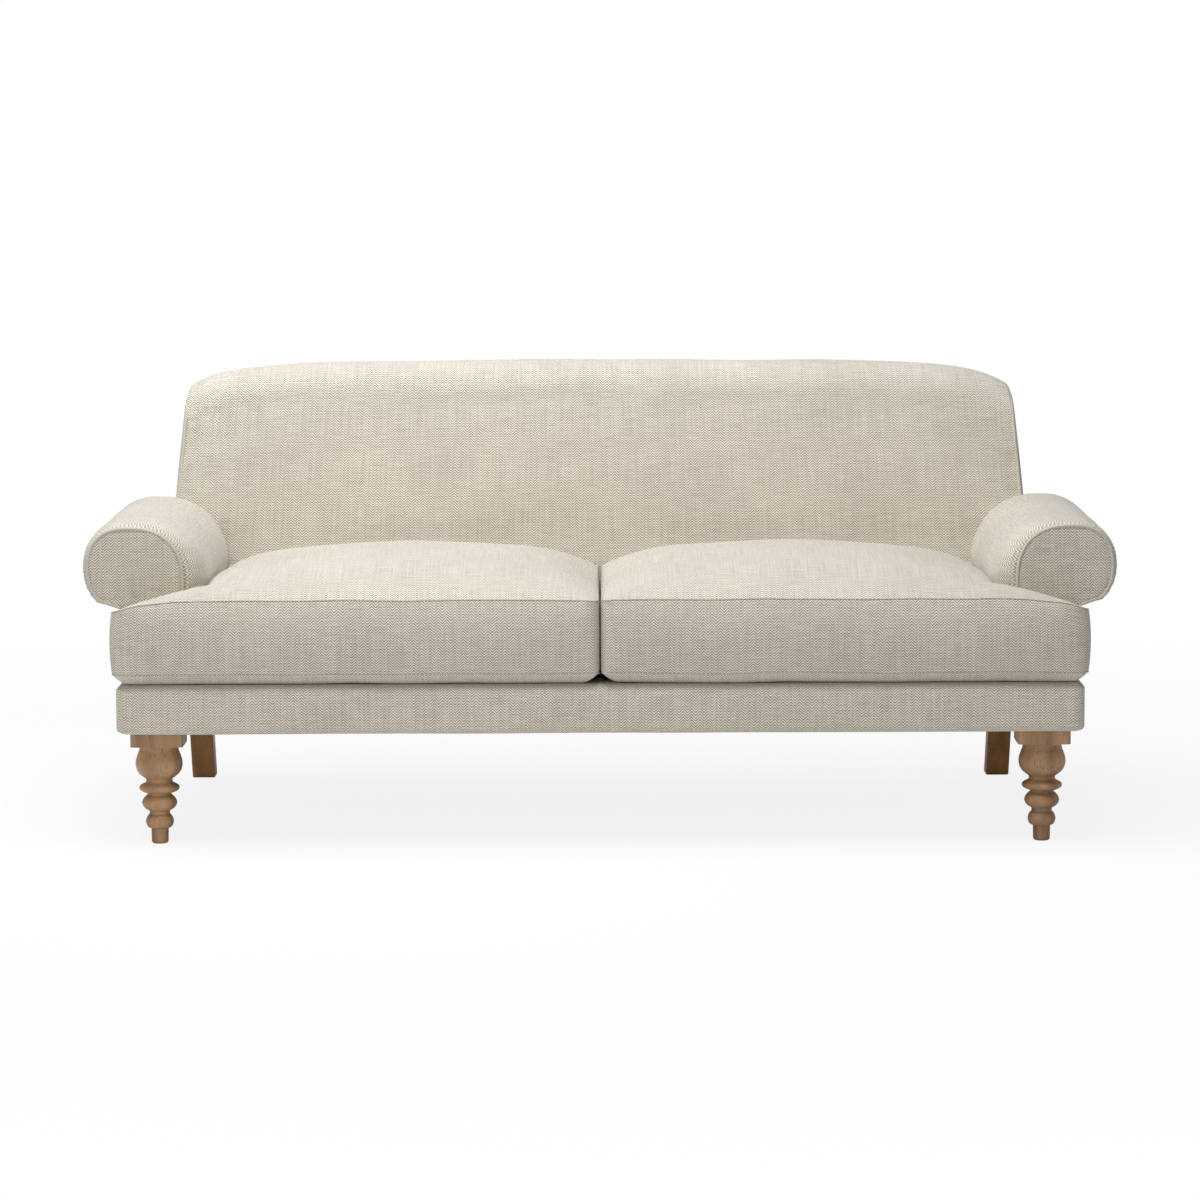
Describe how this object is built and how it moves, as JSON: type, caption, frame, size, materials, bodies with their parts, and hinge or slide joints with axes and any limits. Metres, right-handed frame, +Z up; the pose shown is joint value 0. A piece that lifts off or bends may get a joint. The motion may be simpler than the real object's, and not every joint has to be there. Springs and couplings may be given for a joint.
{
  "type": "english roll arm sofa",
  "caption": "Upholstered English roll arm sofa with loose T shaped seat cushions, a tight rolled back, piped scroll arms, turned front legs and raked square rear legs.",
  "frame": {"origin": "on the floor, under the middle of the sofa's length and depth", "axes": "+X along the sofa to the right as seen from the front, the front faces -Y, +Z up"},
  "size_m": [2.0778, 0.994, 0.922],
  "materials": {
    "cover_fabric": "woven herringbone, matt",
    "cushion_fabric": "woven herringbone, matt, feather filled",
    "piping_fabric": "self piped, matt",
    "padding": "loose fibre and felt, matt",
    "cushion_filling": "feather filled ticking, matt",
    "platform_cloth": "plain woven, matt",
    "dust_cloth": "bonded cloth, matt",
    "webbing": "woven jute, matt",
    "turned_wood": "turned, stained and waxed, satin",
    "rear_leg_wood": "sawn, stained and waxed, satin",
    "frame_timber": "sawn, unfinished",
    "spring_steel": "plain",
    "zip_tape": "moulded teeth on woven tape"
  },
  "bodies": {
    "sofa_frame": {"arm_cover_left": "cover_fabric", "arm_cover_right": "cover_fabric", "arm_facing_left": "cover_fabric", "arm_facing_right": "cover_fabric", "arm_lining_left": "frame_timber", "arm_lining_right": "frame_timber", "arm_outside_panel_left": "cover_fabric", "arm_outside_panel_right": "cover_fabric", "arm_pad_left": "padding", "arm_pad_right": "padding", "arm_piping": "piping_fabric", "arm_rear_board_left": "frame_timber", "arm_rear_board_right": "frame_timber", "arm_stump_left": "frame_timber", "arm_stump_right": "frame_timber", "arm_top_rail_left": "frame_timber", "arm_top_rail_right": "frame_timber", "back_cover": "cover_fabric", "back_facing_left": "cover_fabric", "back_facing_right": "cover_fabric", "back_inner_uprights": "frame_timber", "back_outside_panel": "cover_fabric", "back_pad": "padding", "back_piping": "piping_fabric", "back_top_rail": "frame_timber", "back_upright_left": "frame_timber", "back_upright_right": "frame_timber", "back_webbing": "webbing", "corner_blocks": "frame_timber", "dust_cover": "dust_cloth", "front_border_cover": "cover_fabric", "front_border_pad": "padding", "front_leg_bolts": "spring_steel", "front_legs": "turned_wood", "front_seat_rail": "frame_timber", "rear_leg_bolts": "spring_steel", "rear_leg_left": "rear_leg_wood", "rear_leg_right": "rear_leg_wood", "rear_seat_rail": "frame_timber", "seat_cross_rails": "frame_timber", "seat_deck_cloth": "platform_cloth", "seat_deck_pad": "padding", "seat_springs": "spring_steel", "side_seat_rail_left": "frame_timber", "side_seat_rail_right": "frame_timber", "spring_clips": "spring_steel", "spring_rail": "frame_timber"},
    "cushion_left": {"cushion_zip_left": "zip_tape", "seat_cushion_core_left": "cushion_filling", "seat_cushion_cover_left": "cushion_fabric"},
    "cushion_right": {"cushion_zip_right": "zip_tape", "seat_cushion_core_right": "cushion_filling", "seat_cushion_cover_right": "cushion_fabric"}
  },
  "joints": [
    {"name": "lift_left_cushion", "type": "slide", "parent": "sofa_frame", "child": "cushion_left", "axis": [0, 0, 1], "range_m": [0, 0.35]},
    {"name": "lift_right_cushion", "type": "slide", "parent": "sofa_frame", "child": "cushion_right", "axis": [0, 0, 1], "range_m": [0, 0.35]}
  ]
}
